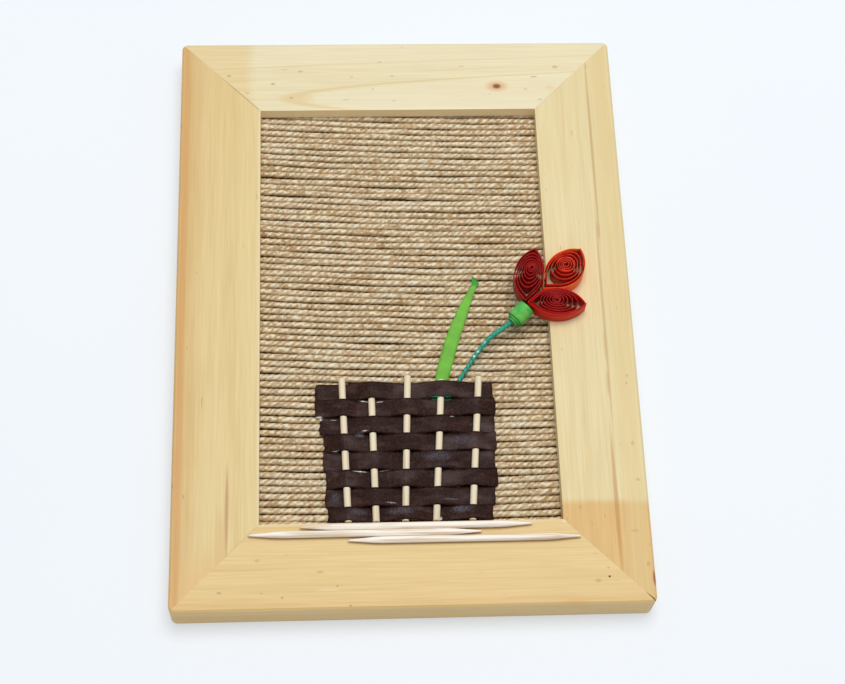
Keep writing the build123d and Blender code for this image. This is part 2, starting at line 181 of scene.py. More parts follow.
def mitre_line_and_painted_light(tree, axes, colour):
    """A rail's dark line where its mitre has opened a little, a painted highlight along its inner edge,
    and painted bounce light on the top rail's inner side.
    """
    beside = maths(tree, "ABSOLUTE", axes["X"])
    above = maths(tree, "ABSOLUTE", axes["Y"])
    past_width = maths(tree, "SUBTRACT", beside, WINDOW_HALF_WIDTH)
    past_height = maths(tree, "SUBTRACT", above, WINDOW_HALF_HEIGHT)
    mitre = maths(tree, "ABSOLUTE", maths(tree, "SUBTRACT", past_width, past_height))
    open_left = ramp(tree, axes["X"], -0.01, 0.01, 0.45, 0.12)
    open_top = ramp(tree, axes["Y"], -0.01, 0.01, 0.35, 1.0)
    open_inside = ramp(tree, beside, 0.05, 0.056, 1.0, 0.15)
    line = ramp(tree, mitre, 0.0001, 0.00035, 1.0, 0.0)
    for share in (open_left, open_top, open_inside):
        line = maths(tree, "MULTIPLY", line, share)
    colour = blend(tree, line, colour, paint(110, 78, 40))
    inner = maths(tree, "MAXIMUM", past_width, past_height)
    # Painted highlight: a pale band along the window's edge, faint on the right rail.
    painted_edge_highlight = ramp(tree, axes["X"], 0.03, 0.04, 0.4, 0.05)
    painted_edge_highlight = maths(tree, "MULTIPLY", painted_edge_highlight, ramp(tree, inner, 0.0002, 0.0011, 1.0, 0.0))
    colour = blend(tree, painted_edge_highlight, colour, paint(242, 230, 192))
    # Painted bounce light: the top rail's inner side, facing the window, is tinted warm and pale.
    painted_bounce_light = ramp(tree, axes["Y"], 0.066, 0.0669)
    painted_bounce_light = maths(tree, "MULTIPLY", painted_bounce_light, ramp(tree, inner, 0.00004, 0.0001, 0.9, 0.0))
    return blend(tree, painted_bounce_light, colour, paint(255, 234, 190))


def refinish(finish, *names):
    """Gives CAD nodes a finish in place of their own."""
    for name in names:
        nodes[name].data.materials.clear()
        nodes[name].data.materials.append(finish)


def pine_rail(name, turned, shift, pale, warm, warmer, marks, arch=None):
    """Finishes one rail: its own board with a warmer side or end, its mitre line, painted highlight and
    painted bounce light, and its marks. A mark is its x, y, width and height in mm, its tint and its share."""
    warm_axis, warm_from, warm_to = warmer
    material, tree, shader, place = new_finish(name + "_pine", specular=0.35)
    axes = add_node(tree, "SeparateXYZ", {0: place}).outputs
    turn = (0, 0, radians(turned))
    along = add_node(tree, "Mapping", {"Vector": place, "Location": shift, "Rotation": turn}).outputs[0]
    wander = maths(tree, "MULTIPLY", stretched_noise(tree, place, (60, 60, 60)), 0.004)
    warmth = ramp(tree, maths(tree, "ADD", axes[warm_axis], wander), warm_from, warm_to)
    grain = place_group(tree, pine, {"Along grain": along, "Pale": pale, "Warm": warm, "Warmth": warmth})
    colour = grain["Colour"]
    if arch:
        colour = flat_sawn_arch(tree, axes, *arch, colour)
    colour = mitre_line_and_painted_light(tree, axes, colour)
    for x, y, width, height, tint, share in marks:
        mask = spot_on(tree, place, (x, y, RAIL_FACE), (width / 2, height / 2, 4.0))
        colour = blend(tree, maths(tree, "MULTIPLY", mask, share), colour, tint)
    finish_with(tree, shader, colour, grain["Roughness"], grain["Height"], 0.00012, 0.35)
    refinish(material, name)


pine, spot = pine_grain(), oval_spot()
nick, knot_core, knot_halo = paint(110, 75, 40), paint(125, 75, 35), paint(214, 150, 85)
amber, soft_brown = paint(226, 172, 104), paint(196, 152, 98)
pine_rail(
    "frame_rail_top", turned=0, shift=(0.3, 0.0, 0.0), pale=paint(231, 219, 180),
    warm=paint(227, 205, 155), warmer=("X", -0.041, -0.046), arch=((-0.0335, 0.0713), 0.00093), marks=[
        (31.0, 75.3, 9.0, 5.0, knot_halo, 0.55), (31.0, 75.3, 3.6, 2.4, knot_core, 0.95),
        (-38.7, 76.7, 1.8, 0.9, nick, 0.52), (-52.3, 79.7, 2.0, 1.0, nick, 0.38),
        (-30.2, 81.2, 2.4, 0.9, nick, 0.34), (-46.6, 73.5, 2.0, 0.9, nick, 0.26),
        (-33.0, 71.6, 2.0, 1.0, nick, 0.3), (-14.2, 79.0, 1.6, 0.8, nick, 0.22),
        (-5.4, 84.4, 1.8, 0.8, nick, 0.26), (-7.7, 74.6, 1.2, 1.2, nick, 0.19),
        (-16.1, 70.8, 3.0, 0.7, nick, 0.22), (-1.2, 70.3, 1.6, 0.9, nick, 0.22),
        (-28.8, 71.6, 8.0, 4.0, amber, 0.25), (49.7, 82.3, 2.4, 1.4, soft_brown, 0.6),
        (42.8, 78.7, 3.0, 0.8, nick, 0.38), (40.0, 74.2, 1.4, 0.9, nick, 0.26),
        (44.3, 70.4, 2.2, 0.9, nick, 0.3), (47.7, 74.6, 4.5, 2.6, amber, 0.25)])
pine_rail(
    "frame_rail_left", turned=90, shift=(0.0, 0.7, 0.0), pale=paint(225, 201, 144),
    warm=paint(214, 178, 118), warmer=("X", -0.053, -0.067), marks=[
        (-56.0, -92.0, 40.0, 46.0, paint(224, 186, 126), 0.8),
        (-51.4, -63.2, 1.4, 36.0, paint(170, 118, 64), 0.6),
        (-53.2, -72.0, 4.0, 26.0, paint(212, 172, 112), 0.35),
        (-65.2, 0.0, 3.0, 420.0, paint(208, 152, 84), 0.55)])
pine_rail(
    "frame_rail_right", turned=90, shift=(0.0, 1.3, 0.0), pale=paint(228, 211, 162),
    warm=paint(220, 182, 118), warmer=("Y", -0.0588, -0.0622), marks=[
        (63.4, 0.0, 9.0, 420.0, paint(220, 194, 134), 0.5),
        (59.3, 52.0, 1.2, 100.0, paint(188, 150, 90), 0.6),
        (58.6, -6.0, 1.2, 100.0, paint(188, 150, 90), 0.5),
        (57.8, -62.0, 1.7, 60.0, paint(190, 132, 72), 0.6), (59.1, 24.1, 1.6, 9.0, soft_brown, 0.4),
        (58.3, -13.9, 1.4, 14.0, soft_brown, 0.3), (58.2, -25.9, 1.5, 11.0, soft_brown, 0.35),
        (63.9, -23.7, 0.9, 1.3, soft_brown, 0.6), (63.5, -26.1, 0.9, 1.2, soft_brown, 0.6),
        (64.5, -55.7, 1.6, 1.2, soft_brown, 0.6), (47.4, -63.6, 1.4, 1.6, soft_brown, 0.5),
        (63.8, -44.7, 1.3, 2.0, soft_brown, 0.5), (62.3, -70.8, 3.0, 1.4, soft_brown, 0.4),
        (65.3, -80.5, 1.4, 2.0, soft_brown, 0.6), (66.7, -84.5, 1.4, 6.0, paint(150, 70, 40), 0.8)])
pine_rail(
    "frame_rail_bottom", turned=0, shift=(0.9, 0.4, 0.0), pale=paint(228, 199, 140),
    warm=paint(224, 190, 128), warmer=("Y", -0.08, -0.095), marks=[
        (-25.6, -80.9, 3.0, 1.0, nick, 0.26), (-53.2, -86.3, 1.8, 1.0, nick, 0.38),
        (-36.0, -88.0, 1.2, 0.8, nick, 0.45), (-17.4, -90.6, 1.2, 0.8, nick, 0.45),
        (-42.9, -77.4, 2.2, 1.2, nick, 0.22), (-20.9, -85.0, 1.0, 0.8, nick, 0.38),
        (44.3, -90.8, 10.0, 1.8, amber, 0.5), (51.0, -85.0, 2.6, 1.5, soft_brown, 0.6),
        (54.2, -83.9, 0.9, 0.9, paint(50, 32, 20), 1.0), (54.1, -81.4, 1.2, 0.8, soft_brown, 0.6),
        (-23.4, -86.1, 9.0, 0.5, paint(244, 226, 184), 0.5),
        (42.9, -67.6, 1.6, 0.8, paint(244, 232, 200), 0.8)])


# Nails and points: thin zinc-plated steel, stamped from sheet. The V nails are pressed into the back across
# the mitres, and the points are driven into the rebate's wall to hold the panel.
steel, tree, shader, place = new_finish("zinc_plated_steel", roughness=0.4)
shader.inputs["Metallic"].default_value = 1.0
spangle = stretched_noise(tree, place, (900, 900, 900), 3.0)
rubbed = stretched_noise(tree, place, (4000, 400, 400))
plated = blend(tree, spangle, paint(150, 154, 158), paint(196, 198, 200))
finish_with(tree, shader, plated, ramp(tree, spangle, 0.3, 0.7, 0.3, 0.5), rubbed, 0.00005, 0.3)
refinish(steel, "corner_v_nails", "retaining_points")


# Backing board: brown hardboard, smooth in front and with the mark of the press's wire screen on its back. It
# lies loose in the rebate.
SCREEN_PITCH = 1.6 * MM
WAVE_LENGTH = 0.314  # of a wave texture at scale 1, in m
hardboard, tree, shader, place = new_finish("hardboard", roughness=0.75, specular=0.25)
pulp = stretched_noise(tree, place, (700, 700, 700), 4.0, 0.65)
wires = {"Vector": place, "Scale": WAVE_LENGTH / SCREEN_PITCH}
weft = add_node(tree, "TexWave", wires, bands_direction="X").outputs[0]
warp = add_node(tree, "TexWave", wires, bands_direction="Y").outputs[0]
screen = maths(tree, "MULTIPLY", weft, warp)
pressed = blend(tree, pulp, paint(96, 62, 36), paint(140, 98, 62))
pressed = blend(tree, maths(tree, "MULTIPLY", screen, 0.25), pressed, paint(70, 44, 26))
finish_with(tree, shader, pressed, None, screen, 0.0002, 0.6)
refinish(hardboard, "backing_board")


# Twine: three-ply jute, laid row against row and glued to the board's front. The rows slope down to the
# right, but lie level at the pot's foot. Their thickness changes, and stray fibres stand off them.
TWINE_PITCH = 2.1
TWINE_ROWS = 66
TWINE_LENGTH = 90.0
TWINE_RADIUS = 1.13
TWINE_DENT = 0.07
TWINE_PLIES = 3
TWINE_LAY = 6.2
TWINE_AXIS = 5.84
TWINE_FLATNESS = 0.96
PANEL_EDGE = 69.4
FIBRES = 260
FIBRE_RADIUS = 0.035
FIBRE_HEIGHT = 6.86


def twisted_plies(length, radius, dent, plies, lay, step, sides):
    """A yarn along X from the origin, in mm: a dented round, turned as it is drawn out, with closed ends."""
    shape = bmesh.new()
    bmesh.ops.create_circle(shape, segments=sides, radius=radius)
    for vert in shape.verts:
        vert.co *= 1 - dent + dent * cos(plies * atan2(vert.co.y, vert.co.x))
    bmesh.ops.rotate(shape, verts=shape.verts, matrix=Matrix.Rotation(pi / 2, 3, "Y"))
    steps = ceil(length / step)
    bmesh.ops.spin(shape, geom=shape.verts[:] + shape.edges[:], axis=(1, 0, 0), dvec=(length / steps, 0, 0),
                   angle=-2 * pi * length / lay, steps=steps)
    bmesh.ops.holes_fill(shape, edges=[edge for edge in shape.edges if edge.is_boundary])
    bmesh.ops.recalc_face_normals(shape, faces=shape.faces)
    yarn = bpy.data.meshes.new("yarn")
    shape.to_mesh(yarn)
    shape.free()
    return yarn


def new_piece(name, shape, material, slot, *replaced):
    """A finished mesh in mm as an object that rides on the root body and stands for CAD nodes."""
    bmesh.ops.scale(shape, vec=(MM, MM, MM), verts=shape.verts)
    mesh = bpy.data.meshes.new(name)
    shape.to_mesh(mesh)
    shape.free()
    mesh.shade_smooth()
    mesh.materials.append(material)
    piece = bpy.data.objects.new(name, mesh)
    bpy.context.collection.objects.link(piece)
    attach(piece, "root")
    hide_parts(*replaced)
    return piece


def row_drift(x, y):
    """How far a row strays from its level, in mm."""
    sloping = min(1, max(0, (y + 45) / 30))
    return 0.0004 * x * x - 0.035 * x * sloping + 0.42 * noise.noise(Vector((x * 0.06, y * 0.45, 8.1)))


def lay_fibres(shape, kept, rows):
    """Stray fibres that lie over some rows, with the values that the twine's points keep."""
    round_yarn, crest, tone, upward = kept
    lowest = (rows[0] - TWINE_ROWS / 2 + 2) * TWINE_PITCH
    highest = (rows[-1] - TWINE_ROWS / 2 - 1) * TWINE_PITCH
    chance = Random(rows[0] + 5)
    for fibre in range(FIBRES):
        length = chance.uniform(2.5, 7.0)
        hair = twisted_plies(length, FIBRE_RADIUS, dent=0.0, plies=1, lay=20.0, step=0.7, sides=3)
        first = len(shape.verts)
        shape.from_mesh(hair)
        bpy.data.meshes.remove(hair)
        shape.verts.ensure_lookup_table()
        x0, y0 = chance.uniform(-40, 36), chance.uniform(lowest, highest)
        heading, bend, rise = chance.gauss(0.15, 0.4), chance.gauss(0, 0.06), chance.uniform(0.0, 0.07)
        for vert in shape.verts[first:]:
            x, y, z = vert.co
            vert[crest], vert[tone], vert[upward] = 1.0, 0.3 + 0.3 * sin(fibre), 1.0
            vert[round_yarn] = (1.0, 0.0, fibre + x * 0.1)
            side = y + bend * x * x
            vert.co = (x0 + x * cos(heading) - side * sin(heading),
                       y0 + x * sin(heading) + side * cos(heading),
                       FIBRE_HEIGHT + z + rise * x * (1 - x / 9))


def lay_rows(piece_name, rows):
    """Some rows of the twine as one mesh. Each point keeps its place round the yarn, its height on its ply,
    how far it faces up, and a tone."""
    shape = bmesh.new()
    kept = [shape.verts.layers.float_vector.new("round_yarn")]
    kept += [shape.verts.layers.float.new(name) for name in ("crest", "tone", "upward")]
    round_yarn, crest, tone, upward = kept
    yarn = twisted_plies(TWINE_LENGTH, TWINE_RADIUS, TWINE_DENT, TWINE_PLIES, TWINE_LAY, step=0.5, sides=12)
    for row in rows:
        first = len(shape.verts)
        shape.from_mesh(yarn)
        shape.verts.ensure_lookup_table()
        level = (row - (TWINE_ROWS - 1) / 2) * TWINE_PITCH
        row_tone = noise.noise(Vector((row * 0.83, 1.3, 5.0)))
        for vert in shape.verts[first:]:
            x, y, z = vert.co
            angle, reach = atan2(z, y), hypot(y, z)
            ply = angle + 2 * pi * x / TWINE_LAY
            vert[round_yarn] = (cos(ply), sin(ply), x / TWINE_LAY + row * 7.31)
            vert[crest] = (reach / TWINE_RADIUS - 1) / (2 * TWINE_DENT) + 1
            vert[tone] = (0.6 * row_tone + 0.6 * noise.noise(Vector((x * 0.06, row * 0.31, 2.0)))
                          + 1.1 * noise.noise(Vector((x * 0.6, row * 2.9, 6.0))))
            x -= TWINE_LENGTH / 2
            turn = row * 2.4 + 1.5 * noise.noise(Vector((x * 0.2, row * 5.1, 1.0)))
            reach *= 1 + 0.15 * noise.noise(Vector((x * 0.1, row * 3.3, 0.0)))
            y = level + row_drift(x, level) + reach * cos(angle + turn)
            vert[upward] = sin(angle + turn)
            z = TWINE_AXIS + reach * vert[upward] * TWINE_FLATNESS
            vert.co = (x, max(-PANEL_EDGE, min(PANEL_EDGE, y)), z)
    bpy.data.meshes.remove(yarn)
    lay_fibres(shape, kept, rows)
    new_piece(piece_name, shape, jute, "jute", "twine_rows")


def attribute(tree, name):
    """A value that the mesh keeps at its points."""
    return add_node(tree, "Attribute", attribute_name=name).outputs["Fac"]


jute, tree, shader, place = new_finish("jute", roughness=0.85, specular=0.2)
round_yarn = add_node(tree, "Attribute", attribute_name="round_yarn").outputs["Vector"]
crest, tone, upward = [attribute(tree, name) for name in ("crest", "tone", "upward")]
streaks = stretched_noise(tree, round_yarn, (5, 5, 1.0), 3.0, 0.65)
fibres = stretched_noise(tree, round_yarn, (14, 14, 2.0), 2.0)
patches = stretched_noise(tree, place, (60, 260, 60), 3.0, 0.6)
flecks = stretched_noise(tree, round_yarn, (2.2, 2.2, 3.4), 4.0, 0.65)
grains = stretched_noise(tree, place, (760, 900, 760), 1.0)
axes = add_node(tree, "SeparateXYZ", {0: place}).outputs
bast = blend(tree, ramp(tree, streaks, 0.3, 0.68), paint(214, 183, 137), paint(244, 219, 180))
bast = blend(tree, ramp(tree, tone, -0.2, -0.9, 0.0, 0.7), bast, paint(192, 152, 98))
bast = blend(tree, ramp(tree, tone, 0.05, 0.7, 0.0, 0.7), bast, paint(255, 242, 212))
bast = blend(tree, ramp(tree, patches, 0.55, 0.75, 0.0, 0.5), bast, paint(196, 156, 102))
bast = blend(tree, ramp(tree, flecks, 0.47, 0.32, 0.0, 0.7), bast, paint(164, 122, 72))
# Painted shade: darker in the grooves between the plies and on the rows' sides that do not face up.
bast = blend(tree, ramp(tree, crest, 0.1, 0.8, 0.3, 0.0), bast, paint(166, 133, 87))
bast = blend(tree, ramp(tree, upward, 0.5, 0.9, 0.4, 0.0), bast, paint(178, 146, 98))
bast = blend(tree, ramp(tree, grains, 0.46, 0.3, 0.0, 0.35), bast, paint(164, 122, 72))
# Painted highlights: pale beads on the ply crests where the rows face up.
glint_noise = maths(tree, "ADD", grains, maths(tree, "MULTIPLY", crest, 0.24))
painted_bead_highlight = maths(tree, "MULTIPLY", ramp(tree, glint_noise, 0.56, 0.76, 0.0, 0.9), ramp(tree, upward, 0.7, 0.9))
bast = blend(tree, painted_bead_highlight, bast, paint(255, 245, 216))
# Painted shade: dark brown low down between the rows, weaker towards the top.
gap_shade = ramp(tree, stretched_noise(tree, place, (45, 330, 45), 2.0), 0.36, 0.6, 0.4, 0.95)
gap_shade = maths(tree, "MULTIPLY", gap_shade, ramp(tree, axes["Z"], 0.0058, 0.0065, 1.0, 0.0))
gap_shade = maths(tree, "MULTIPLY", gap_shade, ramp(tree, axes["Y"], -0.03, 0.05, 1.0, 0.55))
bast = blend(tree, gap_shade, bast, paint(98, 62, 24))
finish_with(tree, shader, bast, None, maths(tree, "ADD", streaks, fibres), 0.0003, 0.7)
lay_rows("twine_lower", range(0, TWINE_ROWS // 2))
lay_rows("twine_upper", range(TWINE_ROWS // 2, TWINE_ROWS))


# Leaf: a strip of light green paper, cut to a long point and glued behind the pot. Its tip is folded over and
# shows the darker side.
LEAF_PAPER = 0.25


def smooth_line(points, per_span=14):
    """Points along one smooth curve from the first given point to the last, led by the others, in mm."""
    curve = bpy.data.curves.new("line", "CURVE")
    curve.dimensions = "3D"
    spline = curve.splines.new("NURBS")
    spline.points.add(len(points) - 1)
    for point, at in zip(spline.points, points):
        point.co = (*at, 1.0)
    spline.order_u = 3
    spline.use_endpoint_u = True
    spline.resolution_u = per_span
    holder = bpy.data.objects.new("line", curve)
    line = bpy.data.meshes.new_from_object(holder)
    found = [vert.co.copy() for vert in line.vertices]
    bpy.data.objects.remove(holder)
    bpy.data.curves.remove(curve)
    bpy.data.meshes.remove(line)
    return found


def quilling_paper():
    """Dyed paper: cut edges are paler where they face up, and fibres cloud the flat sides."""
    group, given, result = new_group(
        "quilling_paper", {"Vector": "Vector", "Dye": "Color", "Cut edge": "Color", "Edge height": "Float"},
        {"Colour": "Color", "Roughness": "Float", "Height": "Float"})
    vector = given["Vector"]
    height = add_node(group, "SeparateXYZ", {0: vector}).outputs["Z"]
    fibres = stretched_noise(group, vector, (2600, 2600, 2600), 3.0)
    clouds = stretched_noise(group, vector, (260, 260, 260), 2.0)
    dyed = blend(group, 1.0, given["Dye"], ramp(group, clouds, 0.3, 0.7, 0.82, 1.1), "MULTIPLY")
    dyed = blend(group, ramp(group, fibres, 0.55, 0.8, 0.0, 0.25), dyed, given["Cut edge"])
    above = maths(group, "SUBTRACT", height, given["Edge height"])
    cut = blend(group, ramp(group, above, -0.0001, 0.0001, 0.0, 0.8), dyed, given["Cut edge"])
    group.links.new(cut, result["Colour"])
    group.links.new(ramp(group, clouds, 0.3, 0.7, 0.42, 0.6), result["Roughness"])
    group.links.new(fibres, result["Height"])
    return group


def dyed_paper(name, dye, cut_edge, edge_height=1.0, lit_outer_dye=None):
    """Paper with one dye, or with a brighter copy of it on a coil's outermost turn, as painted light."""
    material, tree, shader, place = new_finish(name, specular=0.2)
    if lit_outer_dye:
        dye = blend(tree, attribute(tree, "outermost"), dye, lit_outer_dye)
    values = {"Vector": place, "Dye": dye, "Cut edge": cut_edge, "Edge height": edge_height}
    made = place_group(tree, paper, values)
    finish_with(tree, shader, made["Colour"], made["Roughness"], made["Height"], 0.00004, 0.4)
    return material


def reopen(material):
    """A finished material's tree and shader, the object's coordinates, and the colour that it has so far."""
    tree = material.node_tree
    shader = tree.nodes["Principled BSDF"]
    place = tree.nodes["Texture Coordinate"].outputs["Object"]
    return tree, shader, place, shader.inputs["Base Color"].links[0].from_socket


def thicken(piece, thickness, offset=-1.0):
    """Gives a sheet the thickness of its paper, in mm."""
    sheet = piece.modifiers.new("paper", "SOLIDIFY")
    sheet.thickness = thickness * MM
    sheet.offset = offset


paper = quilling_paper()
leaf_left = smooth_line([(7.5, -27.7, 7.2), (10.0, -8.6, 7.4), (20.25, 7.48, 8.4)], 40)
leaf_left += [Vector((20.35, 9.0, 8.45)), Vector((20.6, 10.5, 8.5))]
leaf_right = smooth_line([(10.5, -28.7, 7.2), (15.4, -10.6, 7.4), (21.69, 7.06, 8.4)], 40)
leaf_right += [Vector((22.15, 7.4, 8.45)), Vector((22.55, 7.9, 8.5))]
shape = bmesh.new()
sides = []
for line in (leaf_left, leaf_right):
    row = [shape.verts.new(at) for at in line]
    sides.append([shape.edges.new(pair) for pair in zip(row, row[1:])])
bmesh.ops.bridge_loops(shape, edges=sides[0] + sides[1])
rungs = [edge for edge in shape.edges if edge not in sides[0] and edge not in sides[1]]
bmesh.ops.subdivide_edges(shape, edges=rungs, cuts=4, use_grid_fill=True)
for vert in shape.verts:
    vert.co.z += 0.12 * noise.noise(vert.co * 0.22)
bmesh.ops.recalc_face_normals(shape, faces=shape.faces)
leaf_paper = dyed_paper("leaf_paper", paint(112, 182, 60), paint(138, 196, 92))
tree, shader, place, light_side = reopen(leaf_paper)
up_leaf = add_node(tree, "SeparateXYZ", {0: place}).outputs["Y"]
folded = ramp(tree, up_leaf, 0.0068, 0.0076)
finish_with(tree, shader, blend(tree, folded, light_side, paint(55, 158, 62)))
thicken(new_piece("leaf_blade", shape, leaf_paper, "leaf_paper", "leaf"), LEAF_PAPER)


# Stem: a thin strip of teal paper, twisted hard into a cord and varnished with glue. It starts behind the
# pot's first strip and ends inside the calyx.
STEM_RADIUS = 0.74
STEM_DENT = 0.13
STEM_PLIES = 2
STEM_LAY = 3.0
GLINT_RADII = (0.45, 0.52, 1.2)


def draw_along(shape, line):
    """Bends a mesh that lies along X so that it follows a line, in mm."""
    lengths = [0.0]
    for one, other in zip(line, line[1:]):
        lengths.append(lengths[-1] + (other - one).length)
    for vert in shape.verts:
        span = 0
        while span < len(line) - 2 and lengths[span + 1] < vert.co.x:
            span += 1
        way = (line[span + 1] - line[span]).normalized()
        side = Vector((0, 0, 1)).cross(way).normalized()
        at = line[span] + way * (vert.co.x - lengths[span])
        vert.co = at + side * vert.co.y + way.cross(side) * vert.co.z


def varnish(material, weight, roughness):
    """A clear coat of glue over a paper."""
    shader = material.node_tree.nodes["Principled BSDF"]
    shader.inputs["Coat Weight"].default_value = weight
    shader.inputs["Coat Roughness"].default_value = roughness


stem_line = smooth_line([(12.2, -27.9, 7.75), (15.1, -23.3, 7.8), (18.2, -18.9, 8.7), (21.3, -14.4, 9.9),
                         (25.2, -10.3, 11.1), (29.9, -7.7, 12.2), (33.6, -4.5, 13.0)])
stem_length = sum((other - one).length for one, other in zip(stem_line, stem_line[1:]))
cord = twisted_plies(stem_length, STEM_RADIUS, STEM_DENT, STEM_PLIES, STEM_LAY, step=0.2, sides=14)
shape = bmesh.new()
groove = shape.verts.layers.float.new("groove")
upward = shape.verts.layers.float.new("upward")
shape.from_mesh(cord)
bpy.data.meshes.remove(cord)
for vert in shape.verts:
    share = vert.co.x / stem_length
    reach = vert.co.yz.length
    vert[groove] = (1 - reach / STEM_RADIUS) / (2 * STEM_DENT) * min(1, max(0.25, 2.4 - 3 * share))
    vert[upward] = vert.co.z / max(reach, 0.1)
    vert.co.yz *= 0.88 + 0.4 * share
draw_along(shape, stem_line)
stem_paper = dyed_paper("stem_paper", paint(6, 160, 132), paint(120, 222, 196))
varnish(stem_paper, 0.9, 0.13)
tree, shader, place, twisted = reopen(stem_paper)
# Painted shade: darker in the grooves of the twist and on the cord's sides that do not face up.
groove_shade = ramp(tree, attribute(tree, "groove"), 0.5, 1.0, 0.0, 0.7)
twisted = blend(tree, groove_shade, twisted, paint(2, 92, 80))
flank_shade = ramp(tree, attribute(tree, "upward"), 0.25, 0.8, 0.55, 0.0)
twisted = blend(tree, flank_shade, twisted, paint(4, 96, 84))
# Painted highlights: three pale glints at mid-length.
for x, y, z, share in ((23.0, -12.4, 11.0, 0.75), (21.0, -15.05, 10.3, 0.8), (19.85, -16.35, 9.9, 0.95)):
    painted_glint = maths(tree, "MULTIPLY", spot_on(tree, place, (x, y, z), GLINT_RADII), share)
    twisted = blend(tree, painted_glint, twisted, paint(214, 248, 236))
finish_with(tree, shader, twisted)
new_piece("stem_cord", shape, stem_paper, "stem_paper", "stem")


# Pot uprights: five birch toothpicks, cut square at both ends, that the strips are woven round and glued to.
# They spread a little towards the top, and all but the second stand out above the first strip.
PICK_RADIUS = 0.975
PICK_EDGE = 0.16
UPRIGHT_TOPS = (-18.8, -10.4, 0.2, 10.0, 20.8)
UPRIGHT_FEET = (-17.6, -9.8, -1.6, 7.1, 17.3)
UPRIGHT_RISES = (1.2, -1.3, 1.8, 0.4, 1.2)
UPRIGHT_HEIGHT = 8.425
POT_TOP, POT_BOTTOM = -23.5, -65.7


def upright_x(index, y):
    """Where an upright's axis passes a level, in mm."""
    share = (y - POT_BOTTOM) / (POT_TOP - POT_BOTTOM)
    return UPRIGHT_FEET[index] + (UPRIGHT_TOPS[index] - UPRIGHT_FEET[index]) * share


def turned_solid(profile, steps=28):
    """A solid of revolution round Z from (radius, height) points that start and end on the axis, in mm."""
    shape = bmesh.new()
    line = [shape.verts.new((radius, 0, height)) for radius, height in profile]
    edges = [shape.edges.new(pair) for pair in zip(line, line[1:])]
    bmesh.ops.spin(shape, geom=line + edges, axis=(0, 0, 1), angle=2 * pi, steps=steps, use_merge=True)
    bmesh.ops.remove_doubles(shape, verts=shape.verts, dist=0.001)
    bmesh.ops.recalc_face_normals(shape, faces=shape.faces)
    return shape


def stood_along(shape, foot, way):
    """Turns a mesh's Z to a direction and moves its origin to a place, in mm."""
    turn = Vector((0, 0, 1)).rotation_difference(Vector(way)).to_matrix()
    bmesh.ops.rotate(shape, verts=shape.verts, matrix=turn)
    bmesh.ops.translate(shape, verts=shape.verts, vec=foot)
    return shape


def birch_grain():
    """Birch: near white, with fine straight fibres along X and a few tan streaks."""
    group, given, result = new_group(
        "birch_grain", {"Along grain": "Vector", "Pale": "Color"},
        {"Colour": "Color", "Roughness": "Float", "Height": "Float"})
    fibres = stretched_noise(group, given["Along grain"], (90, 5200, 5200), 3.0)
    streaks = stretched_noise(group, given["Along grain"], (45, 900, 900), 2.0)
    tan = paint(206, 176, 136)
    pale = blend(group, ramp(group, fibres, 0.3, 0.7, 0.12, 0.0), given["Pale"], tan)
    streaked = blend(group, ramp(group, streaks, 0.5, 0.7, 0.0, 0.65), pale, tan)
    group.links.new(streaked, result["Colour"])
    group.links.new(ramp(group, fibres, 0.3, 0.7, 0.7, 0.5), result["Roughness"])
    group.links.new(fibres, result["Height"])
    return group


def toothpick_wood(name, turned, pale):
    """Birch with its fibres turned along the pick."""
    material, tree, shader, place = new_finish(name, specular=0.3)
    along = add_node(tree, "Mapping", {"Vector": place, "Rotation": (0, 0, radians(turned))}).outputs[0]
    made = place_group(tree, birch, {"Along grain": along, "Pale": pale})
    finish_with(tree, shader, made["Colour"], made["Roughness"], made["Height"], 0.00005, 0.5)
    return material


birch = birch_grain()
upright_birch = toothpick_wood("upright_birch", 90, paint(236, 222, 192))
for index, rise in enumerate(UPRIGHT_RISES):
    low, high = POT_BOTTOM - 0.3, POT_TOP + rise
    foot = Vector((upright_x(index, low), low, UPRIGHT_HEIGHT))
    top = Vector((upright_x(index, high), high, UPRIGHT_HEIGHT))
    length = (top - foot).length
    profile = [(0, 0), (PICK_RADIUS - PICK_EDGE, 0), (PICK_RADIUS - 0.04, 0.05), (PICK_RADIUS, PICK_EDGE),
               (PICK_RADIUS, length - PICK_EDGE), (PICK_RADIUS - 0.05, length - 0.06),
               (PICK_RADIUS - PICK_EDGE, length), (0, length)]
    shape = stood_along(turned_solid(profile), foot, top - foot)
    new_piece(f"cut_toothpick_{index + 1}", shape, upright_birch, "toothpick", f"pot_upright_{index + 1}")


# Pot strips: dark brown coated paper, cut by hand and woven before and behind the uprights. Their edges are
# not quite straight, they belly out between the uprights, and they carry glue marks. A grey sheen and the
# shadow of each strip on the one below are painted on them.
STRIP_WIDTHS = (5.3, 5.4, 5.3, 5.4, 5.6, 5.4, 5.6, 4.2)
STRIP_LEFT_ENDS = (26.6, 26.7, 25.4, 24.2, 24.5, 23.6, 24.0, 23.3)
STRIP_RIGHT_ENDS = (24.9, 25.5, 25.0, 25.3, 24.5, 25.2, 24.1, 23.3)
STRIP_BEHIND, STRIP_BEFORE = 7.225, 9.64
STRIP_MIDDLE = 8.4
STRIP_LOWEST = 7.16
STRIP_CORNER = 0.9
STRIP_PAPER = 0.3
TUCKED_BELOW = 8.2
GLUE_HEIGHT = 8.5


def weave_height(index, x, y):
    """A strip's height over the panel where it passes x, in mm: it swings from one upright to the next."""
    stops = [(-STRIP_LEFT_ENDS[index], STRIP_BEHIND + 0.2)]
    for upright in range(len(UPRIGHT_TOPS)):
        stops.append((upright_x(upright, y), STRIP_BEFORE if (index + upright) % 2 else STRIP_BEHIND))
    stops.append((STRIP_RIGHT_ENDS[index], STRIP_BEHIND + 0.2))
    for (x0, z0), (x1, z1) in zip(stops, stops[1:]):
        if x <= x1 or (x1, z1) == stops[-1]:
            share = min(1, max(0, (x - x0) / (x1 - x0)))
            return z0 + (z1 - z0) * (0.55 * share + 0.45 * (1 - cos(pi * share)) / 2)


